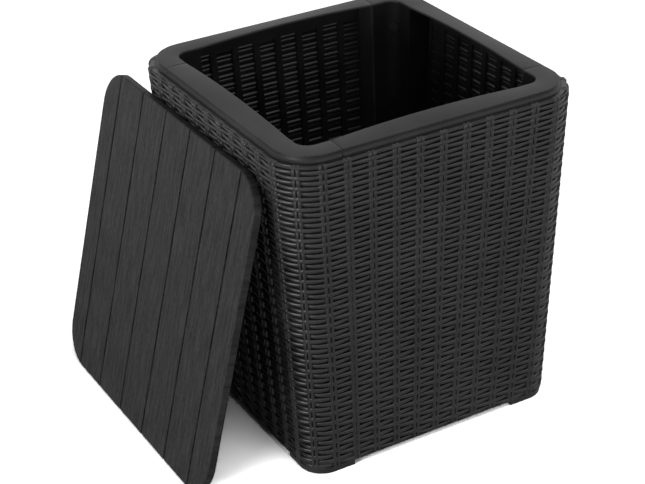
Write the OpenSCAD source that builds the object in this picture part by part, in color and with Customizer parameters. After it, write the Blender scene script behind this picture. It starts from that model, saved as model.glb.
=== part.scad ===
// Resin storage side table: a square box of four moulded wicker-look wall panels with a raised rim,
// hollow corner posts inside, a floor panel, and a plank-look lid that stands against one wall.
// The origin is the middle of the box, on the floor. The lid leans on the -X wall.

/* [Box] */
// Width of the box across the shoulder
body_w = 420; // [400:2:460]
// Height of the box to the outer edge of its rim
body_h = 454; // [400:2:520]
// How far the lower edge of a wall stands in from the shoulder
taper = 25; // [10:0.5:28]
// Radius of the box's corners at the shoulder
corner_r = 60; // [56:1:66]
// Thickness of a moulded wall
skin = 3; // [2.4:0.1:3.4]
// Height of the feet under the walls
foot_h = 9; // [6:1:14]
// How far a foot is set back from the face of its wall
foot_set = 2.5; // [1.5:0.5:4]
// Thickness of a foot
foot_t = 8.5; // [6:0.5:10]

/* [Rim] */
// Distance of the raised rim in from the shoulder's edge
rim_set = 13; // [11:0.5:18]
// Width of the rim from its outer edge to the opening
rim_band = 29; // [26:0.5:31]
// Height of the raised rim above the shoulder
rim_step = 8; // [5:0.5:12]
// Rise of the rim's inner lip in the middle of a wall
rim_crown = 4.4; // [1:0.2:6]
// Height of the lip that hangs down inside the opening
lip_drop = 14; // [8:1:20]
// Softening of the rim's and the shoulder's outer edges
edge_r = 2; // [1:0.5:3]

/* [Weave] */
// Stake spacings round one side of the box
bays = 12; // [12:2:14]
// Width of a stake, which is a pair of strands
stake_w = 12.6; // [10:0.2:14]
// Depth of the weave from the stakes' crowns to the valleys
weave_t = 3.6; // [2.6:0.2:4.4]
// Thickness of the wall in the weave's valleys
valley_t = 2; // [1.6:0.1:2.6]
// Ridges of the cross strands up a wall
rows = 30; // [20:1:32]
// How much taller than the middle ridge the lowest one is, as a share
row_growth = 0.05; // [0:0.01:0.1]
// Plain band under the lowest row
band_h = 4; // [3:1:10]
// Depth of the bars on the inside of the walls
bar_t = 4; // [2:0.5:5]

/* [Joints] */
// Gap between pieces that are put together
gap = 0.3; // [0.2:0.05:0.4]
// Stake spacings from a corner's middle to its seam
seam_bays = 2; // [2:1:3]
// Tongues up one seam
tongues = 3; // [2:1:4]
// Height of a tongue
tongue_h = 16; // [10:1:24]
// Diameter of a corner pin's head
pin_head_d = 14; // [11:0.5:16]
// Thickness of a corner pin's head
pin_head_t = 1.6; // [1.2:0.2:2.4]
// Diameter of a corner pin's shank
pin_d = 6; // [5:0.5:7]
// Corner pins up one post
pins = 4; // [2:1:5]
// Distance of the highest corner pin below the rim
pin_top = 35; // [30:1:60]
// Length of a corner pin inside its boss
pin_reach = 10; // [6:1:16]
// Height of the lowest corner pin
pin_z = 104; // [80:2:130]

/* [Floor] */
// Height of the floor panel's underside above the ground
floor_z = 21; // [18:1:40]
// Width of the ledge that carries the floor panel
ledge_w = 10; // [6:1:14]
// Ribs under the floor panel, each way
floor_ribs = 3; // [1:1:5]
// Depth of the ribs under the floor panel
floor_rib_h = 9; // [5:1:9]

/* [Lid] */
// How far the lid reaches past the box's shoulder on each side
lid_over = 3; // [0:0.5:8]
// Thickness of the lid at its edge
lid_t = 11; // [9:0.5:16]
// Radius of the lid's corners
lid_r = 50; // [40:1:60]
// Planks across the lid
planks = 7; // [5:1:7]
// Spacing of the grooves between the planks
plank_w = 67.5; // [60:0.5:70]
// Width of a groove
groove_w = 2.4; // [1.6:0.2:3.2]
// Depth of a groove
groove_t = 1.2; // [0.8:0.1:1.8]
// Play between the lid's locating ring and the opening
ring_play = 1.5; // [0.8:0.1:2.5]
// Ribs under the lid, each way
lid_ribs = 3; // [1:1:5]
// Depth of the ribs under the lid
lid_rib_h = 6; // [3:0.5:7]
// Lean of the lid from upright, in degrees
lid_lean = 14.4; // [10:0.2:20]
// How far the lid stands to the left of the wall's middle
lid_side = 58; // [0:1:60]

/* [Hidden] */
$fn = 48;
WALLS = ["front", "right", "back", "left"];

charcoal = [0.17, 0.17, 0.18];
charcoal_dark = [0.11, 0.11, 0.12];
far = 300;
over = 1;

// Levels and the cone that a corner follows
mid = body_w / 2 - corner_r;
shoulder_z = body_h - rim_step;
wall_h = shoulder_z - foot_h;
slope = taper / wall_h;
skin_t = weave_t + valley_t;
rim_out = corner_r - rim_set;
lip_in = rim_out - rim_band;
mouth_w = 2 * (mid + lip_in);
lid_w = body_w + 2 * lid_over;
ridge_t = weave_t / 2;
strand_t = weave_t * 0.4;
floor_top = floor_z + gap + skin;
inner_z0 = floor_top + gap;
inner_z1 = body_h - skin - gap;
pin_hole_d = pin_d + 2 * gap;
post_lean = atan(slope * sqrt(2));
boss_at = lip_in + skin + gap;
pin_pitch = (body_h - pin_top - pin_z) / (pins - 1);

// Outer radius of a corner at height z, which is also the wall's distance past the corner's centre
function out_r(z) = corner_r - slope * (shoulder_z - z);
// Stake spacing along the side at height z
function pitch(z) = (2 * mid + PI / 2 * out_r(z)) / bays;
// Distance from a wall's middle to its seam or to its post's edge, at height z
function seam_x(z) = (bays / 2 - seam_bays) * pitch(z);
// Half the clear width between two corner posts at height z
function post_in(z) = mouth_w / 2 - slope * (body_h - z);
// A point at height z, u along the side from the front wall's middle, sunk below the stakes' crowns
function side_point(u, z, sunk) =
    let (r = out_r(z), turn = (u - mid) / r * 180 / PI, q = r - sunk)
    u <= mid ? [u, -mid - q, z]
    : turn <= 90 ? [mid + q * sin(turn), -mid - q * cos(turn), z]
    : [mid + q, -mid + (turn - 90) * PI / 180 * r, z];

// Height that a ridge begins at, for i ridges below it: the ridges shrink evenly towards the shoulder
function row_z(i) =
    let (share = i / rows)
    foot_h + band_h + (wall_h - band_h) * share * (1 + row_growth - row_growth * share);

// The wall's profile as (distance past the corner's centre, height)
function weave_line() = [
    for (i = [0 : rows - 1], half = [0, 1])
        let (z = row_z(i + half / 2))
        [out_r(z) - (half == 0 ? ridge_t : weave_t), z]
];
function inside_line() =
    let (ledge_z = floor_z - skin, top = shoulder_z - skin)
    [
        [out_r(top) - skin_t, top],
        [out_r(floor_z) - skin_t, floor_z],
        [out_r(floor_z) - skin_t - ledge_w, floor_z],
        [out_r(floor_z) - skin_t - ledge_w, ledge_z],
        [out_r(ledge_z) - skin_t, ledge_z],
        [out_r(foot_h) - skin_t, foot_h]
    ];
function rim_line() = [
    [out_r(shoulder_z - edge_r), shoulder_z - edge_r],
    [out_r(shoulder_z) - edge_r, shoulder_z],
    [rim_out, shoulder_z],
    [rim_out, body_h - edge_r / 2],
    [rim_out - edge_r / 2, body_h]
];
function plain_lip() = [
    [lip_in, body_h],
    [lip_in, body_h - skin]
];
function hanging_lip() = [
    [lip_in, body_h + rim_crown],
    [lip_in, body_h - lip_drop],
    [lip_in + skin, body_h - lip_drop],
    [lip_in + skin, body_h - skin]
];
function wall_profile(lip) = concat(
    [[out_r(foot_h) - ridge_t, foot_h]],
    weave_line(),
    rim_line(),
    lip,
    [[rim_out - skin, body_h - skin], [rim_out - skin, shoulder_z - skin]],
    inside_line()
);
function foot_profile() =
    let (out = out_r(foot_h) - foot_set)
    [
        [out - foot_t, 0],
        [out - edge_r, 0],
        [out, edge_r],
        [out, floor_z - skin],
        [out - foot_t, floor_z - skin]
    ];

// A profile run along the front wall from x0 to x1
module along_front(profile, x0, x1) {
    translate([x0, -mid, 0]) mirror([0, 1, 0]) rotate([90, 0, 90]) linear_extrude(x1 - x0) polygon(profile);
}

// A profile turned round the front right corner
module round_corner(profile) {
    translate([mid, -mid, 0]) rotate([0, 0, -90]) rotate_extrude(angle = 90) polygon(profile);
}

// A profile run back along the right wall for a length past the corner
module along_right(profile, length) {
    translate([mid, -mid, 0]) mirror([0, 1, 0]) rotate([90, 0, 0]) linear_extrude(length) polygon(profile);
}

// Everything on the +X side of the slanted line at side * seam_x + shift
module beyond_seam(side, shift) {
    z0 = -over;
    z1 = body_h + 2 * rim_crown;
    rotate([90, 0, 0]) translate([0, 0, -far]) linear_extrude(2 * far)
        polygon([
            [side * seam_x(z0) + shift, z0],
            [far, z0],
            [far, z1],
            [side * seam_x(z1) + shift, z1]
        ]);
}

// A plate that follows the seam's slant, from the posts' inner face out to the wall and the rim
module seam_plate(shift, z1, clear) {
    z0 = inner_z0;
    under_shoulder = shoulder_z - skin - clear;
    under_rim = -mid - rim_out + skin + clear;
    intersection() {
        rotate([90, 0, 0]) translate([0, 0, -far]) linear_extrude(2 * far)
            polygon([
                [seam_x(z0) + shift, z0],
                [seam_x(z0) + shift + skin, z0],
                [seam_x(z1) + shift + skin, z1],
                [seam_x(z1) + shift, z1]
            ]);
        rotate([90, 0, 90]) linear_extrude(far)
            polygon([
                [-post_in(z0), z0],
                [-post_in(z1), z1],
                [under_rim, z1],
                [under_rim, under_shoulder],
                [-mid - out_r(under_shoulder) + skin_t + clear, under_shoulder],
                [-mid - out_r(z0) + skin_t + clear, z0]
            ]);
    }
}

// Children's flat shape drawn up the wall at a stake, with its Y axis pointing into the wall
module upright(bay, z0, z1, sunk) {
    u0 = (bay - bays / 2) * pitch(z0);
    u1 = (bay - bays / 2) * pitch(z1);
    turn = max(0, min(90, (u1 - mid) / out_r(z1) * 180 / PI));
    p = side_point(u0, z0, sunk);
    d = [[cos(turn), sin(turn), 0], [-sin(turn), cos(turn), 0], [0, 0, 1]] * (side_point(u1, z1, sunk) - p);
    translate(p) rotate([0, 0, turn]) rotate([asin(-d.y / norm(d)), atan2(d.x, d.z), 0])
        linear_extrude(norm(d)) children();
}

// One of a stake's two strands, beginning at a distance from the stake's middle
module strand(side, start) {
    w = stake_w / 2;
    polygon([
        [side * start, weave_t + valley_t / 2],
        [side * start, strand_t],
        [side * w / 4, 0],
        [side * w * 3 / 4, 0],
        [side * w, strand_t],
        [side * w, weave_t + valley_t / 2]
    ]);
}

// A stake, which is halved where the wall ends at a seam
module stake(bay) {
    first = bay == seam_bays;
    last = bay == seam_bays + bays;
    upright(bay, foot_h + band_h / 2, shoulder_z - edge_r, 0) {
        if (!first) strand(-1, last ? gap / 2 : 0);
        if (!last) strand(1, first ? gap / 2 : 0);
    }
}

// A flat bar on the wall's inner side, behind a stake
module inner_bar(bay) {
    upright(bay, inner_z0, body_h - lip_drop + gap, skin_t)
        translate([-stake_w / 2, -valley_t / 2]) square([stake_w, bar_t + valley_t / 2]);
}

// A tongue on the seam's flange, or with play round it the slot that takes it
module tongue(i, play) {
    z = inner_z0 + (i + 0.5) * (inner_z1 - inner_z0) / tongues;
    depth = mid + out_r(z) - skin_t - post_in(z);
    translate([seam_x(z) - skin / 2 - play, -post_in(z) - 3 / 4 * depth - play, z - tongue_h / 2 - play])
        cube([3 * skin + 2 * play, depth / 2 + 2 * play, tongue_h + 2 * play]);
}

// Turns children into the frame of the front right post, which leans in with the walls
module post_frame(z) {
    translate([mid, -mid, body_h]) rotate(a = post_lean, v = [1, 1, 0])
        translate([0, 0, (z - body_h) / cos(post_lean)]) children();
}

// A round bar along the post's diagonal, from a to b past the corner's centre
module diagonal_bar(z, a, b, d) {
    post_frame(z) rotate([0, 90, -45]) translate([0, 0, a]) cylinder(d = d, h = b - a);
}

// The crown of the rim's lip: all above this curve is cut off
module above_crown() {
    half = seam_x(shoulder_z);
    steps = 12;
    curve = [
        for (i = [0 : steps])
            let (x = half * (2 * i / steps - 1))
            [x, body_h + rim_crown * (1 - x * x / (half * half))]
    ];
    top = body_h + 2 * rim_crown;
    translate([0, -mid, 0]) rotate([90, 0, 0]) linear_extrude(corner_r)
        polygon(concat(curve, [[half, top], [-half, top]]));
}

// The foot under the front right corner
module foot() {
    profile = foot_profile();
    x0 = seam_x(0) + foot_set;
    along_front(profile, x0, mid);
    round_corner(profile);
    along_right(profile, mid - x0);
}

// The boss inside the front right corner that a corner pin goes into
module pin_boss(z) {
    end = out_r(z) - skin_t + (body_h - z) * tan(post_lean) + over;
    diagonal_bar(z, boss_at, end, pin_hole_d + 2 * skin);
}

// Drawn as the front panel: the front wall, the front right corner and the piece of wall up to the seam
module wall_panel() {
    lip_end = seam_x(body_h - lip_drop) - gap;
    corner_part = wall_profile(plain_lip());
    color(charcoal) difference() {
        union() {
            difference() {
                along_front(wall_profile(hanging_lip()), -lip_end - skin, lip_end);
                mirror([1, 0, 0]) beyond_seam(1, -gap / 2);
                above_crown();
            }
            along_front(corner_part, lip_end, mid);
            round_corner(corner_part);
            difference() {
                along_right(corner_part, mid - seam_x(0) + skin);
                rotate([0, 0, 90]) beyond_seam(-1, -gap / 2);
            }
            foot();
            mirror([1, 0, 0]) seam_plate(-gap / 2 - skin, body_h - skin / 2, -over);
            for (i = [0 : tongues - 1]) mirror([1, 0, 0]) tongue(i, 0);
            for (bay = [seam_bays : seam_bays + bays]) stake(bay);
            for (bay = [seam_bays + 1 : bays - seam_bays - 1]) inner_bar(bay);
            for (i = [0 : pins - 1]) pin_boss(pin_z + i * pin_pitch);
        }
        for (i = [0 : pins - 1])
            diagonal_bar(pin_z + i * pin_pitch, boss_at - over, boss_at + pin_reach + skin, pin_hole_d);
    }
}

// Drawn as the post in the front right corner
module corner_post() {
    long = body_h + 2 * corner_r;
    color(charcoal_dark) difference() {
        union() {
            intersection() {
                post_frame(body_h) translate([0, 0, -long]) {
                    translate([-mid, -lip_in - skin, 0]) cube([mid, skin, 2 * long]);
                    rotate([0, 0, -90]) rotate_extrude(angle = 90)
                        translate([lip_in, 0]) square([skin, 2 * long]);
                    translate([lip_in, 0, 0]) cube([skin, mid, 2 * long]);
                }
                beyond_seam(1, 0);
                rotate([0, 0, 90]) mirror([1, 0, 0]) beyond_seam(1, gap / 2);
                translate([0, -far, inner_z0]) cube([far, far, inner_z1 - inner_z0]);
            }
            seam_plate(0, inner_z1, gap);
            rotate([0, 0, 90]) mirror([1, 0, 0]) seam_plate(gap / 2, inner_z1, gap);
        }
        for (i = [0 : tongues - 1]) rotate([0, 0, 90]) mirror([1, 0, 0]) tongue(i, gap);
        for (i = [0 : pins - 1])
            diagonal_bar(pin_z + i * pin_pitch, 0, lip_in + 2 * skin, pin_hole_d);
    }
}

// The push-in pins of all four posts
module corner_pins() {
    seat = sqrt(lip_in * lip_in - pin_head_d * pin_head_d / 4) - gap;
    color(charcoal) for (turn = [0 : 90 : 270], i = [0 : pins - 1]) rotate([0, 0, turn]) {
        diagonal_bar(pin_z + i * pin_pitch, seat - pin_head_t, seat, pin_head_d);
        diagonal_bar(pin_z + i * pin_pitch, seat - over, boss_at + pin_reach, pin_d);
    }
}

// A square slab with round corners, standing on z
module slab(w, r, z, h) {
    translate([-w / 2 + r, -w / 2, z]) cube([w - 2 * r, w, h]);
    translate([-w / 2, -w / 2 + r, z]) cube([w, w - 2 * r, h]);
    for (x = [-1, 1], y = [-1, 1]) translate([x * (w / 2 - r), y * (w / 2 - r), z]) cylinder(r = r, h = h);
}

// Evenly spaced ribs both ways across a square
module rib_grid(w, n, t, z, h) {
    for (i = [1 : n], turn = [0, 90]) rotate([0, 0, turn])
        translate([-w / 2, -w / 2 + i * w / (n + 1) - t / 2, z]) cube([w, t, h]);
}

module floor_panel() {
    side = out_r(floor_z) - skin_t - 2 * gap;
    ribs_w = 2 * (mid + side - ledge_w);
    color(charcoal_dark) {
        slab(2 * (mid + side), side, floor_z + gap, skin);
        rib_grid(ribs_w, floor_ribs, skin, floor_z + gap - floor_rib_h, floor_rib_h + over);
    }
}

// The lid lying on its underside, with its middle over the origin
module lid_flat() {
    side = lid_w / 2 - lid_r;
    under = lid_t - skin;
    profile = [
        [0, under],
        [lid_r - skin, under],
        [lid_r - skin, 0],
        [lid_r, 0],
        [lid_r, lid_t - edge_r],
        [lid_r - edge_r, lid_t],
        [0, lid_t]
    ];
    ring_w = mouth_w - 2 * ring_play;
    difference() {
        union() {
            translate([-side, -side, under]) cube([2 * side, 2 * side, skin]);
            for (turn = [0 : 90 : 270]) rotate([0, 0, turn]) {
                translate([side, -side, 0]) rotate([0, 0, -90]) rotate_extrude(angle = 90) polygon(profile);
                translate([-side, -side, 0]) mirror([0, 1, 0]) rotate([90, 0, 90])
                    linear_extrude(2 * side) polygon(profile);
            }
            difference() {
                slab(ring_w, lip_in - ring_play, 0, under + over);
                slab(ring_w - 2 * skin, lip_in - ring_play - skin, -over, under + over);
            }
            rib_grid(ring_w - skin, lid_ribs, skin, under - lid_rib_h, lid_rib_h + over);
        }
        for (i = [0 : planks - 2])
            translate([(i - (planks - 2) / 2) * plank_w - groove_w / 2, -lid_w / 2 - over, lid_t - groove_t])
                cube([groove_w, lid_w + 2 * over, 2 * groove_t]);
    }
}

// The lid standing on its lower edge and leaning on the wall
module lid_board() {
    touch_z = min(lid_w * cos(lid_lean), shoulder_z);
    x = -mid - out_r(touch_z) - gap - touch_z * tan(lid_lean);
    color(charcoal) translate([x, lid_side, 0]) rotate([0, lid_lean - 90, 0]) rotate([0, 0, -90])
        translate([0, lid_w / 2, 0]) lid_flat();
}

for (i = [0 : 3]) {
    rotate([0, 0, 90 * i]) wall_panel();
    rotate([0, 0, 90 * i]) corner_post();
}
corner_pins();
floor_panel();
lid_board();
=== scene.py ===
import bpy
import numpy as np
from mathutils import Matrix


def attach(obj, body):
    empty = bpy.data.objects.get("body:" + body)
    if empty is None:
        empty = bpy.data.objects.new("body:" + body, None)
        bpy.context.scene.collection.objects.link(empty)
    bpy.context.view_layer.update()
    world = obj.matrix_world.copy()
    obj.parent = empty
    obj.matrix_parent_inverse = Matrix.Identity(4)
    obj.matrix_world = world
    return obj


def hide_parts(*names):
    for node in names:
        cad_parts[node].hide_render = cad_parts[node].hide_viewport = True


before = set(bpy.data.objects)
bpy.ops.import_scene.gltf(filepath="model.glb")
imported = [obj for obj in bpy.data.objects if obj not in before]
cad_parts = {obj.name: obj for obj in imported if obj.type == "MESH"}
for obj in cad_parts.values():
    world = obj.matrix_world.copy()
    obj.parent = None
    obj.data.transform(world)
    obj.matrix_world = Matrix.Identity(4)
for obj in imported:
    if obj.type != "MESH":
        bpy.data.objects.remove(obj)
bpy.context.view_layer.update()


# Wall panels. Four like mouldings of charcoal polypropylene, each a wall, the rounded corner at its
# right-hand end and the strip of the next wall up to the seam. The mould draws the wicker look in one skin:
# 61 rounded strands over and under stakes 11 mm wide, with deep narrow gaps, and flat bars inside.
WALLS = ["front", "right", "back", "left"]
BODY_W = 420.0
SHOULDER_Z = 446.0
FOOT_H = 9.0
TAPER = 25.0
SLOPE = TAPER / (SHOULDER_Z - FOOT_H)
CORNER_R = 60.0
CORNER_MID = BODY_W / 2 - CORNER_R
EDGE_R = 3.0
SKIN = 5.6
BAR = 4.0
SEAM_GAP = 0.3

# Places along a panel are counted in bays, from one stake's middle to the next, with 0 in the wall's middle
BAYS = 12
SEAM_BAY = 4
HALF_STAKE = 0.168
HALF_BAR = 0.138

# Places up a panel are counted in rows, from one strand's lower edge to the next. The wall's lower edge and
# the plain strip above it cut into the first strand.
ROWS = 61
LOWEST_ROW = 7.7
ROW_H = 7.57
ROW_SHRINK = 0.006
TOP_ROW_MORE = 1.66
TOP_ROW_GAP = 0.1
STRAND_FILL = 0.8
LOWER_EDGE = 0.172
PLAIN_EDGE = 0.36
WINDOW_TOP = 58
STAKE_END = 0.6
STAKE_END_ROUND = 0.15
SKIN_END = 0.83

# Depths below the face. The weave's grooves are shallower where it turns in over the shoulder.
STRAND_OVER = 0.35
STRAND_DIP = 3.0
STRAND_CURVE = 1.5
STRAND_BULGE = 2.3
STAKE_BULGE = 2.6
STAKE_SPLIT = 1.9
STAKE_DIP = 0.8
GROOVE = 5.0
SHOULDER_GROOVE = 2.4
PLAIN_SUNK = 0.8
WINDOW_SKIN = 5.2
INNER_NEAR = 2.4
INNER_FAR = 0.8

# Slack for grid lines that lie on an edge, and for rounding errors
SLACK = 0.01
TINY = 1e-6


def out_r(z):
    """Distance of the wall's face past the corner's centre: it shrinks evenly below the shoulder."""
    return CORNER_R - SLOPE * (SHOULDER_Z - np.minimum(z, SHOULDER_Z))


def pitch(z):
    """Spacing of the stakes: twelve of them share a straight side and a quarter turn."""
    return (2 * CORNER_MID + np.pi / 2 * out_r(z)) / BAYS


def on_panel(bay, r, z):
    """Points of the front panel, in mm. bay goes along the wall and turns the corner with it, r is the
    distance past the corner's centre and z the height."""
    side = out_r(z)
    u = bay * pitch(z)
    turn = np.clip((u - CORNER_MID) / side, 0, np.pi / 2)
    past = np.maximum(u - CORNER_MID - np.pi / 2 * side, 0)
    x = np.minimum(u, CORNER_MID) + r * np.sin(turn)
    y = past - CORNER_MID - r * np.cos(turn)
    return np.stack(np.broadcast_arrays(x, y, z), -1)


def on_skin(bay, up, sunk):
    """Points of the panel's skin. up is the way up the face, over the rounded shoulder and in towards the
    rim, and sunk the depth below the face."""
    edge = SHOULDER_Z - EDGE_R
    z = np.minimum(up, edge)
    bend = np.clip((up - edge) / EDGE_R, 0, np.pi / 2)
    flat = np.maximum(up - edge - np.pi / 2 * EDGE_R, 0)
    r = out_r(z) - EDGE_R + (EDGE_R - sunk) * np.cos(bend) - flat
    return on_panel(bay, r, z + (EDGE_R - sunk) * np.sin(bend))


def way_up(row):
    """Way up the face to a row: the rows shrink evenly upwards, and the top one is taller, to wrap the
    shoulder."""
    in_top_row = np.maximum(row - ROWS + 1, 0)
    return LOWEST_ROW + ROW_H * row - ROW_SHRINK * row ** 2 + TOP_ROW_MORE * in_top_row


def outer_relief(bay, row):
    """Depth of the woven face. A strand is a half-round ridge that stays out over one stake and dives ever
    more steeply under the next. A stake is two half-round ridges whose crowns dip where a strand crosses."""
    strand_no = np.clip(np.floor(row + TINY), 0, ROWS - 1)
    stake_left = np.floor(bay + TINY)
    off_middle = np.abs(2 * (row - strand_no) - 1)
    past_stake = np.where((strand_no + stake_left) % 2 == 0, bay - stake_left, 1 - bay + stake_left)
    round_strand = 1 - np.sqrt(1 - np.clip(off_middle / STRAND_FILL, 0, 1) ** 2)
    strand = STRAND_OVER + STRAND_DIP * past_stake ** STRAND_CURVE + STRAND_BULGE * round_strand
    strand = np.where(off_middle > STRAND_FILL + SLACK, GROOVE, strand)
    strand = np.where(row > ROWS - SLACK, PLAIN_SUNK, strand)

    stake_no = np.round(bay)
    across = np.abs(bay - stake_no) / HALF_STAKE
    bulge = np.where(across < 0.5, STAKE_SPLIT, STAKE_BULGE)
    round_stake = bulge * (1 - np.sqrt(np.clip(1 - (2 * across - 1) ** 2, 0, 1)))
    dip = STAKE_DIP * (0.5 + 0.5 * np.cos(np.pi * (row - 0.5 + stake_no))) * (row < ROWS)
    end_drop = PLAIN_SUNK * np.clip((row - ROWS - STAKE_END) / STAKE_END_ROUND, 0, 1) ** 2
    stake = np.where(across < 1 + SLACK, dip + round_stake + end_drop, GROOVE)

    deepest = np.where(row > ROWS - 1 + TOP_ROW_GAP, SHOULDER_GROOVE, GROOVE)
    woven = np.minimum(np.minimum(strand, stake), deepest)
    return np.where(row < PLAIN_EDGE, PLAIN_SUNK, woven)


def window_relief(bay, row):
    """Depth of the wall's inner face: in the windows half-round strands, by turns near and far, and round
    them a flat bar behind each stake and a plain band above."""
    strand_no = np.floor(row + TINY)
    off_middle = np.abs(2 * (row - strand_no) - 1)
    bulge = np.where((strand_no + np.floor(bay + TINY)) % 2 == 0, INNER_NEAR, INNER_FAR)
    strand = WINDOW_SKIN + bulge * np.sqrt(1 - np.clip(off_middle, 0, 1) ** 2)
    across = np.abs(bay - np.round(bay)) / HALF_BAR
    return np.where((across < 1 + SLACK) | (row > WINDOW_TOP - SLACK), SKIN + BAR, strand)


def plain_relief(bay, row):
    """Depth of the corner's inner face, which is plain."""
    return np.full_like(row, SKIN)


def numbered(shape, start=0):
    """A grid of point numbers, counted row by row from start."""
    return start + np.arange(shape[0] * shape[1]).reshape(shape[:2])


def quads_of(grid):
    """The quads between neighbours in a grid of point numbers, each going along its row first."""
    return np.stack([grid[:-1, :-1], grid[:-1, 1:], grid[1:, 1:], grid[1:, :-1]], -1).reshape(-1, 4)


def plate(outer, inner):
    """The closed solid between two grids of points, both [up, along]: its points, quads and end polygons."""
    a = numbered(outer.shape)
    b = numbered(inner.shape, a.size)
    ends = [
        np.concatenate([b[0], a[0, ::-1]]),
        np.concatenate([a[-1], b[-1, ::-1]]),
        np.concatenate([a[:, 0], b[::-1, 0]]),
        np.concatenate([b[:, -1], a[::-1, -1]]),
    ]
    points = np.concatenate([outer.reshape(-1, 3), inner.reshape(-1, 3)])
    return points, np.concatenate([quads_of(a), quads_of(b[::-1])]), ends


def add_piece(name, parts, material, sharp=40):
    """One mesh object in metres from parts that are each points in mm, quads and end polygons. It is shaded
    smooth but for edges that turn by more than sharp degrees."""
    starts = np.cumsum([0] + [len(points) for points, quads, ends in parts])
    all_points = np.concatenate([points for points, quads, ends in parts]) / 1000
    all_quads = np.concatenate([quads + start for (points, quads, ends), start in zip(parts, starts)])
    all_ends = [end + start for (points, quads, ends), start in zip(parts, starts) for end in ends]
    corners = np.concatenate([all_quads.ravel()] + all_ends).astype(np.int32)
    sizes = np.array([4] * len(all_quads) + [len(end) for end in all_ends], np.int32)
    mesh = bpy.data.meshes.new(name)
    mesh.vertices.add(len(all_points))
    mesh.vertices.foreach_set("co", all_points.astype(np.float32).ravel())
    mesh.loops.add(len(corners))
    mesh.loops.foreach_set("vertex_index", corners)
    mesh.polygons.add(len(sizes))
    mesh.polygons.foreach_set("loop_start", (np.cumsum(sizes) - sizes).astype(np.int32))
    mesh.update(calc_edges=True)
    mesh.validate()
    mesh.shade_smooth()
    mesh.set_sharp_from_angle(angle=np.radians(sharp))
    mesh.materials.append(material)
    piece = bpy.data.objects.new(name, mesh)
    bpy.context.scene.collection.objects.link(piece)
    return piece


# Cosine and sine of no turn and of one, two and three quarter turns
QUARTERS = [(1, 0), (0, 1), (-1, 0), (0, -1)]


def quarter_turns(parts, n):
    """The same parts turned by n quarter turns about the box's middle."""
    c, s = QUARTERS[n]
    turn = np.array([[c, s, 0], [-s, c, 0], [0, 0, 1]])
    return [(points @ turn, quads, ends) for points, quads, ends in parts]


def linear(colour):
    """An sRGB hex colour as the linear RGBA that a shader socket takes."""
    rgb = np.array([int(colour[i:i + 2], 16) for i in (1, 3, 5)]) / 255
    rgb = np.where(rgb <= 0.04045, rgb / 12.92, ((rgb + 0.055) / 1.055) ** 2.4)
    return (*rgb.tolist(), 1.0)


def add_node(owner, kind, settings=None, links=None):
    """Adds a node, sets its properties and sockets, and links the sockets that are given an output."""
    node = owner.node_tree.nodes.new(kind)
    for key, value in (settings or {}).items():
        if isinstance(key, str) and hasattr(node, key):
            setattr(node, key, value)
        else:
            node.inputs[key].default_value = value
    for key, output in (links or {}).items():
        owner.node_tree.links.new(output, node.inputs[key])
    return node


def new_material(name):
    """A material without nodes."""
    material = bpy.data.materials.new(name)
    material.use_nodes = True
    material.node_tree.nodes.clear()
    return material


# Polypropylene, injection moulded in a textured tool. The fine texture takes the shine off the strands' tops
# and leaves a soft sheen, and the colour goes through, so grooves are dark from shade alone. The real grain
# is too fine to show, so it is drawn 1 to 2 mm wide.
RESIN_IOR = 1.49
CLOUD_MM = 71.4
NOISE_REACH = 0.25
RESIN_TINT = 0.6
MATT_REACH = 0.06


def moulded_resin(name, colour, roughness, sheen, grain_mm, grain_depth):
    """Resin of one colour, tinted by the sum of a fine grain and broad clouds. The grain also varies its
    roughness and its height."""
    material = new_material(name)
    place = add_node(material, "ShaderNodeTexCoord")
    grain = add_node(material, "ShaderNodeTexNoise",
                     {"Scale": 1000 / grain_mm, "Detail": 3.0, "Roughness": 0.6},
                     {"Vector": place.outputs["Object"]})
    cloud = add_node(material, "ShaderNodeTexNoise", {"Scale": 1000 / CLOUD_MM, "Detail": 2.0},
                     {"Vector": place.outputs["Object"]})
    both = add_node(material, "ShaderNodeMath", {"operation": "ADD"},
                    {0: grain.outputs["Fac"], 1: cloud.outputs["Fac"]})
    tint = add_node(material, "ShaderNodeMapRange",
                    {"From Min": 1 - NOISE_REACH, "From Max": 1 + NOISE_REACH,
                     "To Min": 1 - RESIN_TINT, "To Max": 1 + RESIN_TINT},
                    {"Value": both.outputs["Value"]})
    shade = add_node(material, "ShaderNodeHueSaturation", {"Color": linear(colour)},
                     {"Value": tint.outputs["Result"]})
    matt = add_node(material, "ShaderNodeMapRange",
                    {"To Min": roughness - MATT_REACH, "To Max": roughness + MATT_REACH},
                    {"Value": grain.outputs["Fac"]})
    bump = add_node(material, "ShaderNodeBump", {"Strength": 0.5, "Distance": grain_depth / 1000},
                    {"Height": grain.outputs["Fac"]})
    skin = add_node(material, "ShaderNodeBsdfPrincipled", {"IOR": RESIN_IOR, "Specular IOR Level": sheen},
                    {"Base Color": shade.outputs["Color"], "Roughness": matt.outputs["Result"],
                     "Normal": bump.outputs["Normal"]})
    add_node(material, "ShaderNodeOutputMaterial", links={"Surface": skin.outputs["BSDF"]})
    return material


WOVEN_RESIN = moulded_resin("woven_look_resin", "#1f1f20", roughness=0.34, sheen=0.4, grain_mm=1.6,
                            grain_depth=0.15)

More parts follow.
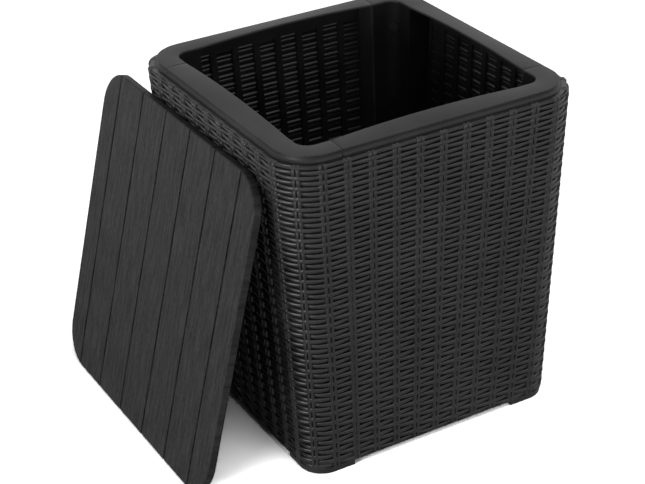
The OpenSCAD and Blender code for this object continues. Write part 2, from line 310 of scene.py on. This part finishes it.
# Grid lines, close together at the edges of a strand or a stake and further apart on its round back
strand_rows = np.array([0.07, 0.1, 0.15, 0.28, 0.5, 0.72, 0.85, 0.9, 0.93])
woven_rows = (np.arange(ROWS)[:, None] + strand_rows).ravel()
outer_rows = np.concatenate([
    [LOWER_EDGE, PLAIN_EDGE - 2 * SLACK, PLAIN_EDGE + SLACK],
    woven_rows[woven_rows > PLAIN_EDGE],
    ROWS + np.array([0, STAKE_END / 2, STAKE_END, STAKE_END + STAKE_END_ROUND, SKIN_END]),
])
window_rows = (np.arange(ROWS)[:, None] + np.array([0, 0.08, 0.3, 0.7, 0.92])).ravel()
in_windows = (window_rows > LOWER_EDGE) & (window_rows < ROWS - 1 + TOP_ROW_GAP)
inner_rows = np.concatenate([[LOWER_EDGE], window_rows[in_windows]])

stake_bays = HALF_STAKE * np.array([0, 0.22, 0.5, 0.75, 0.96, 1, 1.04])
strand_bays = np.array([0.3, 0.4, 0.5, 0.6, 0.7])
outer_bays = np.concatenate([stake_bays, strand_bays, 1 - stake_bays[:0:-1]])
bar_bays = HALF_BAR * np.array([0, 1, 1.04])
inner_bays = np.concatenate([bar_bays, [0.5], 1 - bar_bays[:0:-1]])

# Half of the seam's gap, in bays
seam_share = SEAM_GAP / 2 / pitch(SHOULDER_Z)


def bays_between(first, last, one_bay):
    """The grid's lines from one stake's middle to another's, held back from the seams that end the panel."""
    lines = np.append((np.arange(first, last)[:, None] + one_bay).ravel(), last)
    return np.clip(lines, -SEAM_BAY + seam_share, 2 * SEAM_BAY - seam_share)


def woven_plate(first, last, inner_relief):
    """The skin between two stakes' middles: the woven face outside, and inside the depths that inner_relief
    gives."""
    bay, row = np.meshgrid(bays_between(first, last, outer_bays), outer_rows)
    outer_grid = on_skin(bay, way_up(row), outer_relief(bay, row))
    bay, row = np.meshgrid(bays_between(first, last, inner_bays), inner_rows)
    return plate(outer_grid, on_skin(bay, way_up(row), inner_relief(bay, row)))


wall_part = woven_plate(-SEAM_BAY, SEAM_BAY, window_relief)
corner_part = woven_plate(SEAM_BAY, 2 * SEAM_BAY, plain_relief)
for i, wall in enumerate(WALLS):
    for name, part in [("wall_weave_", wall_part), ("corner_weave_", corner_part)]:
        piece = add_piece(name + wall, quarter_turns([part], i), WOVEN_RESIN)
        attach(piece, "box")
        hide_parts("wall_panel_" + wall)


# Each wall panel's smooth parts, moulded in one with its weave: the raised rim with the flat strip beside
# it, the ledge for the floor panel, the foot under the corner and the flange at the seam. The charcoal resin
# looks even here, and a little paler than the weave.
BODY_H = 454.0
STRIP_IN = 10.2
STRIP_T = 1.5
STRIP_UNDER = 6.0
RIM_R = 47.0
RIM_UNDERCUT = 2.0
RIM_FILLET = 4.6
RIM_EDGE = 1.5
RIM_EDGE_FALL = 0.3
RIM_ROUND = 0.7
RIM_CROWN = 4.4
MOUTH_R = 18.0
MOUTH_ROUND = 1.6
WALL_T = 3.0
LEDGE_Z = 21.0
LEDGE_W = 10.0
FOOT_SET = 2.5
FOOT_T = 8.5
FOOT_ROUND = 2.0
FOOT_INNER_ROUND = 1.0
FLANGE_LOW = 24.6
END_ROUND = 0.5

# How far one part of a moulding runs into the next, and a rib or an edge into a wall
OVERLAP = 1.0
TUCK = 0.5

# Grid steps along a wall and round a corner
WALL_STEPS = 24
CORNER_STEPS = 40


def arc(r, z, radius, start, stop, n=5):
    """Points of a circular arc of a profile, from one angle to another in degrees."""
    t = np.radians(np.linspace(start, stop, n))
    return np.stack([r + radius * np.cos(t), z + radius * np.sin(t)], -1)


def sweep(profile, lines, lift=0.0):
    """A closed profile of (distance past the corner's centre, height) carried along the panel, with its two
    ends rounded off. lift gives how much each profile point rises with the crown in the wall's middle."""
    near_end = END_ROUND / pitch(BODY_H)
    first, last = lines[0], lines[-1]
    lines = np.concatenate([[first, first + near_end], lines[1:-1], [last - near_end, last]])
    sunk = np.zeros(len(lines))
    sunk[[0, -1]] = END_ROUND
    r = profile[:, :1] - sunk
    z = np.maximum(profile[:, 1:] - sunk, 0)
    points = on_panel(lines, r, z)
    points[..., 2] += lift * np.clip(1 - (lines / SEAM_BAY) ** 2, 0, 1) * RIM_CROWN
    numbers = numbered(z.shape)
    closed = np.concatenate([numbers, numbers[:1]])
    return points.reshape(-1, 3), quads_of(closed), [numbers[:, 0], numbers[::-1, -1]]


def rim_profile():
    """Outline of the rim: the strip beside it, a fillet up to the undercut, the outer edge, the top, the
    mouth's edge, and then back under the top and the strip."""
    strip_r = CORNER_R - STRIP_IN
    strip_z = SHOULDER_Z - PLAIN_SUNK
    side_r = RIM_R - RIM_UNDERCUT
    return np.concatenate([
        [[strip_r, strip_z - STRIP_T], [strip_r, strip_z]],
        arc(side_r + RIM_FILLET, strip_z + RIM_FILLET, RIM_FILLET, 270, 180, 7),
        [[side_r, BODY_H - RIM_EDGE - RIM_EDGE_FALL], [RIM_R, BODY_H - RIM_EDGE]],
        arc(RIM_R - RIM_ROUND, BODY_H - RIM_ROUND, RIM_ROUND, 0, 90),
        arc(MOUTH_R + MOUTH_ROUND, BODY_H - MOUTH_ROUND, MOUTH_ROUND, 90, 180),
        [[MOUTH_R, BODY_H - WALL_T], [RIM_R - WALL_T, BODY_H - WALL_T]],
        [[RIM_R - WALL_T, SHOULDER_Z - WALL_T], [CORNER_R - STRIP_UNDER, SHOULDER_Z - WALL_T]],
    ])


RIM_RESIN = moulded_resin("smooth_rim_resin", "#262627", roughness=0.48, sheen=0.27, grain_mm=2.0,
                          grain_depth=0.12)

rim_lines = np.concatenate([
    np.linspace(-SEAM_BAY, SEAM_BAY, WALL_STEPS + 1),
    np.linspace(SEAM_BAY, 2 * SEAM_BAY, CORNER_STEPS + 1)[1:],
])
rim_lines[0] += seam_share
rim_lines[-1] -= seam_share

# The crown lifts the rim's top, most at the mouth and not at all at its outer side
profile = rim_profile()
from_side = np.clip((RIM_R - profile[:, :1]) / (RIM_R - MOUTH_R), 0, 1)
in_upper_half = profile[:, 1:] > (SHOULDER_Z + BODY_H) / 2
rim = sweep(profile, rim_lines, from_side * in_upper_half)

ledge_r = out_r(LEDGE_Z) - SKIN
ledge_low = LEDGE_Z - WALL_T
ledge = sweep(np.array([
    [ledge_r + OVERLAP, LEDGE_Z],
    [ledge_r - LEDGE_W, LEDGE_Z],
    [ledge_r - LEDGE_W, ledge_low],
    [ledge_r + OVERLAP, ledge_low],
]), rim_lines)

foot_r = out_r(FOOT_H) - FOOT_SET
foot_share = FOOT_SET / pitch(0)
foot = sweep(np.concatenate([
    arc(foot_r - FOOT_ROUND, FOOT_ROUND, FOOT_ROUND, 270, 360),
    [[foot_r, ledge_low], [foot_r - FOOT_T, ledge_low]],
    arc(foot_r - FOOT_T + FOOT_INNER_ROUND, FOOT_INNER_ROUND, FOOT_INNER_ROUND, 180, 270, 3),
]), np.linspace(SEAM_BAY + foot_share, 2 * SEAM_BAY - foot_share, CORNER_STEPS + 1))

under_strip = SHOULDER_Z - WALL_T
flange_z = np.array([FLANGE_LOW, under_strip, under_strip + TUCK, BODY_H - WALL_T + TUCK])[:, None]
flange_out = np.where(flange_z > under_strip, RIM_R - WALL_T + TUCK, out_r(flange_z) - SKIN + OVERLAP)
flange_in = MOUTH_R - SLOPE * (BODY_H - flange_z)
flange_lines = rim_lines[0] + np.array([0, WALL_T / pitch(SHOULDER_Z)])
flange = plate(on_panel(flange_lines, flange_out, flange_z), on_panel(flange_lines, flange_in, flange_z))

for i, wall in enumerate(WALLS):
    piece = add_piece("rim_and_foot_" + wall, quarter_turns([rim, ledge, foot, flange], i), RIM_RESIN)
    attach(piece, "box")
    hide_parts("wall_panel_" + wall)


# Corner posts. Four hollow resin mouldings stand inside the box and tie two panels together across each
# seam. They are drawn nearly black, darker than the panels, as painted shade for the inside of the box.
# They are smooth and dull, without a visible grain.
def dress(node_name, material):
    """Gives a CAD node's own mesh one material."""
    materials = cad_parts[node_name].data.materials
    materials.clear()
    materials.append(material)


# Nearly black: painted shade for the inside of the box, darker than the panels' own resin
SHADED_POST_RESIN = moulded_resin("post_resin", "#101011", roughness=0.6, sheen=0.12, grain_mm=1.2,
                           grain_depth=0.05)
for wall in WALLS:
    dress("corner_post_" + wall, SHADED_POST_RESIN)


# Corner pins. Sixteen push-in pins, four to a post, hold the posts to the panels. Their resin is drawn
# black, as painted shade like the posts'. Their round heads are smoother than the posts and each catches a
# small highlight.
# Drawn black as painted shade, like the posts they sit on
SHADED_PIN_RESIN = moulded_resin("pin_resin", "#161617", roughness=0.3, sheen=0.3, grain_mm=0.8, grain_depth=0.03)
dress("corner_pins", SHADED_PIN_RESIN)


# Floor panel. One ribbed moulding of plain resin, which is dropped in from above and rests on the
# panels' ledges, in deep shade. Its colour is drawn darker than the panels', as painted shade.
# Darker than the panels' resin: painted shade for the bottom of the box
SHADED_FLOOR_RESIN = moulded_resin("floor_resin", "#171718", roughness=0.5, sheen=0.25, grain_mm=1.2,
                            grain_depth=0.05)
dress("floor_panel", SHADED_FLOOR_RESIN)


# Lid. One charcoal moulding of polypropylene: a board with a skirt round its edge, a ring that drops into
# the opening, and ribs. Its top is drawn as seven planks with square grooves between them and a saw grain
# along them. It stands on its edge and leans on the left wall.
LID_W = 426.0
LID_T = 11.0
LID_R = 50.0
LID_EDGE_R = 2.2
SKIRT_BEVEL = 0.6
LID_GAP = 0.3
LID_LEAN = np.radians(14.4)
LID_MIDDLE_Y = 58.0
PLANK_W = 67.5
GROOVE_W = 3.2
GROOVE_T = 2.0
GROOVE_SIDE = 0.5
FACING_END = 0.7
RING_GAP = 1.5
RING_HALF = CORNER_MID + MOUTH_R - RING_GAP
LID_RIB_H = 6.0
TOP_UV = "lid_plan"

# Grid lines of the lid: of its top, round a corner, between the corners and along a plank, and of its ring,
# round a corner
ROUND_LINES = 19
FLAT_LINES = 15
ALONG_LINES = 25
RING_LINES = 9


def lid_place(points):
    """Stands points of the flat lid on its edge and leans them on the wall. The flat lid's x runs across it,
    y up the lean and z out of its top."""
    x, y, z = points[..., 0], points[..., 1], points[..., 2]
    top_z = LID_W * np.cos(LID_LEAN)
    foot_x = -CORNER_MID - out_r(top_z) - LID_GAP - LID_W * np.sin(LID_LEAN)
    up = y + LID_W / 2
    return np.stack([
        foot_x + up * np.sin(LID_LEAN) - z * np.cos(LID_LEAN),
        LID_MIDDLE_Y - x,
        up * np.cos(LID_LEAN) + z * np.sin(LID_LEAN),
    ], -1)


def groove_depth(x):
    """Depth of the plank grooves across the lid: flat-bottomed, with slightly sloped sides."""
    off_groove = np.abs((x / PLANK_W) % 1 - 0.5) * PLANK_W
    return GROOVE_T * np.clip((GROOVE_W / 2 - off_groove) / GROOVE_SIDE + 0.5, 0, 1)


def across_lines(half, radius):
    """Grid lines across a rounded square: close together round its corners and at the grooves' sides."""
    side = half - radius + radius * np.sin(np.linspace(0, np.pi / 2, ROUND_LINES))
    groove_sides = GROOVE_W / 2 + np.array([-0.5, 0.5]) * GROOVE_SIDE
    grooves = np.arange(-2.5, 3)[:, None] * PLANK_W + np.concatenate([-groove_sides, groove_sides])
    flats = np.linspace(-half + radius, half - radius, FLAT_LINES)
    return np.unique(np.round(np.concatenate([side, -side, grooves.ravel(), flats]), 3))


def rounded_grid(half, radius):
    """Points of a rounded square as lines across it, each split evenly between its two ends."""
    x = across_lines(half, radius)
    past = np.maximum(np.abs(x) - (half - radius), 0)
    reach = half - radius + np.sqrt(np.maximum(radius ** 2 - past ** 2, 0))
    y = reach[:, None] * np.linspace(-1, 1, ALONG_LINES)
    return np.broadcast_to(x[:, None], y.shape), y


def outline_of(grid):
    """The grid's border points in turn, anticlockwise as seen from above the lid."""
    return np.concatenate([grid[:-1, 0], grid[-1, :-1], grid[:0:-1, -1], grid[0, :0:-1]])


def lid_shell():
    """Top face, rounded edge, skirt and underside as one closed surface: a grid with the grooves for the
    top, and rings round it, each moved out and down from the grid's border."""
    x, y = rounded_grid(LID_W / 2 - LID_EDGE_R, LID_R - LID_EDGE_R)
    top = np.stack([x, y, LID_T - groove_depth(x)], -1)
    numbers = numbered(top.shape)
    edge = outline_of(top)
    out = edge[:, :2] - np.clip(edge[:, :2], LID_R - LID_W / 2, LID_W / 2 - LID_R)
    out = out / np.linalg.norm(out, axis=1, keepdims=True)
    notch = groove_depth(edge[:, 0]) * (np.abs(out[:, 1]) > FACING_END)

    # How far each ring lies out and down from the border, and whether the grooves still notch it
    turns = np.radians([22.5, 45, 67.5, 90])
    rings = [(LID_EDGE_R * np.sin(turn), LID_EDGE_R * (1 - np.cos(turn)), 1) for turn in turns]
    rings += [
        (LID_EDGE_R, LID_T - SKIRT_BEVEL, 0),
        (LID_EDGE_R - SKIRT_BEVEL, LID_T, 0),
        (LID_EDGE_R - WALL_T, LID_T, 0),
        (LID_EDGE_R - WALL_T, WALL_T, 0),
    ]
    grow, drop, notched = np.array(rings).T[:, :, None]
    ring_points = np.empty((len(rings), len(edge), 3))
    ring_points[..., :2] = edge[:, :2] + out * grow[..., None]
    ring_points[..., 2] = LID_T - drop - notch * notched
    loops = np.vstack([outline_of(numbers), numbered(ring_points.shape, numbers.size)])
    closed = np.column_stack([loops, loops[:, 0]])
    quads = np.concatenate([quads_of(numbers.T), quads_of(closed.T)])
    points = np.concatenate([top.reshape(-1, 3), ring_points.reshape(-1, 3)])
    return points, quads, [loops[-1, ::-1]]


def slab(x0, x1, y0, y1, z0, z1):
    """A plain bar of the underside, as a closed box."""
    def layer(z):
        return np.array([[[x0, y1, z], [x1, y1, z]], [[x0, y0, z], [x1, y0, z]]], float)
    return plate(layer(z0), layer(z1))


def ring_wall(half, radius, low, high):
    """The locating ring: a thin wall along a rounded square."""
    t = np.linspace(0, np.pi / 2, RING_LINES)
    normal = np.stack([np.cos(t), np.sin(t)], -1)
    quarter = half - radius + radius * normal
    turns = [np.array([[c, s], [-s, c]]) for c, s in QUARTERS]
    line = np.concatenate([quarter @ turn for turn in turns])
    out = np.concatenate([normal @ turn for turn in turns])
    corners = [(0, low), (0, high), (-WALL_T, high), (-WALL_T, low)]
    points = np.stack([
        np.column_stack([line + out * grow, np.full(len(line), z)]) for grow, z in corners
    ])
    closed = np.pad(numbered(points.shape), (0, 1), mode="wrap")
    return points.reshape(-1, 3), quads_of(closed), []


# Polypropylene again, in a tool engraved with a saw grain: fine streaks a few tenths of a millimetre deep
# run along the planks and spread the light, so the face looks dull and even with faint lengthwise lines. The
# streaks are drawn 1.8 mm wide, because finer ones don't show, in bands about 4 mm wide and 45 mm long.
STREAK_MM = [1.786, 7.69]
BAND_MM = [4.35, 45.5]
LID_TINT = 1.0
STREAK_DEPTH = 0.3


def grained_resin(name, colour):
    """Resin tinted and raised by the sum of two noises, fine streaks and broad bands, both stretched along
    the planks in the lid's own plan map, which is in metres."""
    material = new_material(name)
    plan = add_node(material, "ShaderNodeUVMap", {"uv_map": TOP_UV})
    fine = add_node(material, "ShaderNodeMapping",
                    {"Scale": (1000 / STREAK_MM[0], 1000 / STREAK_MM[1], 1.0)},
                    {"Vector": plan.outputs["UV"]})
    streak = add_node(material, "ShaderNodeTexNoise", {"Scale": 1.0, "Detail": 5.0, "Roughness": 0.65},
                      {"Vector": fine.outputs["Vector"]})
    broad = add_node(material, "ShaderNodeMapping",
                     {"Scale": (1000 / BAND_MM[0], 1000 / BAND_MM[1], 1.0)},
                     {"Vector": plan.outputs["UV"]})
    band = add_node(material, "ShaderNodeTexNoise", {"Scale": 1.0, "Detail": 3.0},
                    {"Vector": broad.outputs["Vector"]})
    both = add_node(material, "ShaderNodeMath", {"operation": "ADD"},
                    {0: streak.outputs["Fac"], 1: band.outputs["Fac"]})
    tint = add_node(material, "ShaderNodeMapRange",
                    {"From Min": 1 - NOISE_REACH, "From Max": 1 + NOISE_REACH,
                     "To Min": 1 - LID_TINT, "To Max": 1 + LID_TINT},
                    {"Value": both.outputs["Value"]})
    shade = add_node(material, "ShaderNodeHueSaturation", {"Color": linear(colour)},
                     {"Value": tint.outputs["Result"]})
    bump = add_node(material, "ShaderNodeBump", {"Strength": 0.6, "Distance": STREAK_DEPTH / 1000},
                    {"Height": both.outputs["Value"]})
    skin = add_node(material, "ShaderNodeBsdfPrincipled",
                    {"IOR": RESIN_IOR, "Specular IOR Level": 0.2, "Roughness": 0.55},
                    {"Base Color": shade.outputs["Color"], "Normal": bump.outputs["Normal"]})
    add_node(material, "ShaderNodeOutputMaterial", links={"Surface": skin.outputs["BSDF"]})
    return material


under = LID_T - WALL_T
rib_low = under - LID_RIB_H
reach = RING_HALF - OVERLAP
flat_parts = [lid_shell(), ring_wall(RING_HALF, MOUTH_R - RING_GAP, 0, under + TUCK)]
for middle in [-RING_HALF / 2, 0, RING_HALF / 2]:
    near, far = middle - WALL_T / 2, middle + WALL_T / 2
    flat_parts.append(slab(near, far, -reach, reach, rib_low, under + TUCK))
    flat_parts.append(slab(-reach, reach, near, far, rib_low, under + TUCK))
leaning_parts = [(lid_place(points), quads, ends) for points, quads, ends in flat_parts]
lid = add_piece("plank_lid", leaning_parts, grained_resin("plank_grain_resin", "#232324"), sharp=30)
flat_points = np.concatenate([points for points, quads, ends in flat_parts])
corner_points = np.empty(len(lid.data.loops), np.int32)
lid.data.loops.foreach_get("vertex_index", corner_points)
plan_map = lid.data.uv_layers.new(name=TOP_UV)
plan_map.data.foreach_set("uv", (flat_points[corner_points, :2] / 1000).astype(np.float32).ravel())
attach(lid, "lid")
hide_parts("lid_board")


# The studio, in metres: a plain floor of matt paper that keeps the object's shadow and glows into a white
# backdrop further out, five soft lamps, and the camera of the photograph.
FLOOR_HALF = 6.0
PAPER = 0.8
PAPER_MIRRORED = 1.2
PAPER_SEEN = 4.6
GLOW_NEAR = 0.6
GLOW_FAR = 2.6
WORLD_LEVEL = 0.02
WHITE = (1, 1, 1, 1)
LAMP_TARGET = (0, 0, 0.25)


def seen_level(owner, low, mirrored, high):
    """Output that is high where the camera sees the stage, mirrored where gloss or glass shows it, and low
    for all other light."""
    path = add_node(owner, "ShaderNodeLightPath")
    shown = add_node(owner, "ShaderNodeMath", {"operation": "MAXIMUM"},
                     {0: path.outputs["Is Glossy Ray"], 1: path.outputs["Is Transmission Ray"]})
    level = add_node(owner, "ShaderNodeMapRange", {"To Min": low, "To Max": mirrored},
                     {"Value": shown.outputs["Value"]})
    seen = add_node(owner, "ShaderNodeMapRange", {"To Max": high},
                    {"Value": path.outputs["Is Camera Ray"], "To Min": level.outputs["Result"]})
    return seen.outputs["Result"]


def stage_material():
    """Matt paper that is lifted to white where it is seen and keeps the object's shadow. Further out it
    glows into the white of the backdrop, so that no horizon shows."""
    material = new_material("studio_paper")
    paper = add_node(material, "ShaderNodeBsdfDiffuse",
                     links={"Color": seen_level(material, low=PAPER, mirrored=PAPER_MIRRORED,
                                                high=PAPER_SEEN)})
    place = add_node(material, "ShaderNodeTexCoord")
    away = add_node(material, "ShaderNodeVectorMath", {"operation": "LENGTH"}, {0: place.outputs["Object"]})
    spread = add_node(material, "ShaderNodeMapRange",
                      {"interpolation_type": "SMOOTHSTEP", "From Min": GLOW_NEAR, "From Max": GLOW_FAR},
                      {"Value": away.outputs["Value"]})
    strength = add_node(material, "ShaderNodeMath", {"operation": "MULTIPLY"},
                        {0: spread.outputs["Result"],
                         1: seen_level(material, low=0.0, mirrored=1.0, high=1.0)})
    glow = add_node(material, "ShaderNodeEmission", {"Color": WHITE},
                    {"Strength": strength.outputs["Value"]})
    total = add_node(material, "ShaderNodeAddShader",
                     links={0: paper.outputs["BSDF"], 1: glow.outputs["Emission"]})
    add_node(material, "ShaderNodeOutputMaterial", links={"Surface": total.outputs["Shader"]})
    return material


floor_corners = [(x * FLOOR_HALF, y * FLOOR_HALF, 0) for x, y in [(-1, -1), (1, -1), (1, 1), (-1, 1)]]
floor_mesh = bpy.data.meshes.new("studio_floor")
floor_mesh.from_pydata(floor_corners, [], [(0, 1, 2, 3)])
floor_mesh.materials.append(stage_material())
studio_floor = bpy.data.objects.new("studio_floor", floor_mesh)
bpy.context.scene.collection.objects.link(studio_floor)

world = bpy.data.worlds.new("studio")
bpy.context.scene.world = world
world.use_nodes = True
world.node_tree.nodes.clear()
sky = add_node(world, "ShaderNodeBackground", {"Color": WHITE},
               {"Strength": seen_level(world, low=WORLD_LEVEL, mirrored=1.0, high=1.0)})
add_node(world, "ShaderNodeOutputWorld", links={"Surface": sky.outputs["Background"]})


def facing(position, target):
    """The axes right, up and forward of a view from one point to another, with up kept up."""
    forward = np.asarray(target, float) - position
    forward /= np.linalg.norm(forward)
    right = np.cross(forward, (0, 0, 1))
    right /= np.linalg.norm(right)
    return right, np.cross(right, forward), forward


def put(thing, position, right, up, forward):
    """Places a lamp or camera, whose own axes are right, up and backwards."""
    matrix = np.eye(4)
    matrix[:3] = np.column_stack([right, up, -forward, position])
    thing.matrix_world = Matrix(matrix.tolist())
    bpy.context.scene.collection.objects.link(thing)


def softbox(name, position, size, watts):
    """A square studio lamp aimed at the middle of the box."""
    light = bpy.data.lights.new(name, "AREA")
    light.size = size
    light.energy = watts
    put(bpy.data.objects.new(name, light), position, *facing(position, LAMP_TARGET))


# One lamp above, two on the lid's side, one on the right and one in front
softbox("top_lamp", (0.05, -1.0, 2.9), size=1.8, watts=21)
softbox("left_lamp", (-2.7, -1.3, 1.1), size=1.2, watts=17)
softbox("low_left_lamp", (-2.8, -0.8, 0.5), size=1.0, watts=34)
softbox("right_lamp", (2.4, -1.0, 1.8), size=1.4, watts=10)
softbox("front_lamp", (0.6, -3.0, 1.2), size=1.4, watts=8)

# The photo's camera, worked out from the box's square plan and the lid's flat board
CAMERA_AT = (-1.02062, -1.75612, 1.32314)
CAMERA_YAW = np.radians(28.82)
CAMERA_PITCH = np.radians(28.85)
CAMERA_ROLL = np.radians(-2.44)
FOCAL_PIXELS = 1751.55
IMAGE_W = 645
SENSOR_W = 36

ahead = np.array([np.sin(CAMERA_YAW) * np.cos(CAMERA_PITCH), np.cos(CAMERA_YAW) * np.cos(CAMERA_PITCH),
                  -np.sin(CAMERA_PITCH)])
level_right = np.array([np.cos(CAMERA_YAW), -np.sin(CAMERA_YAW), 0])
level_up = np.cross(level_right, ahead)
rolled_right = np.cos(CAMERA_ROLL) * level_right + np.sin(CAMERA_ROLL) * level_up
rolled_up = np.cos(CAMERA_ROLL) * level_up - np.sin(CAMERA_ROLL) * level_right
lens = bpy.data.cameras.new("photo_camera")
lens.sensor_width = SENSOR_W
lens.lens = SENSOR_W * FOCAL_PIXELS / IMAGE_W
camera = bpy.data.objects.new("photo_camera", lens)
put(camera, CAMERA_AT, rolled_right, rolled_up, ahead)
bpy.context.scene.camera = camera
bpy.context.scene.view_settings.view_transform = "Standard"
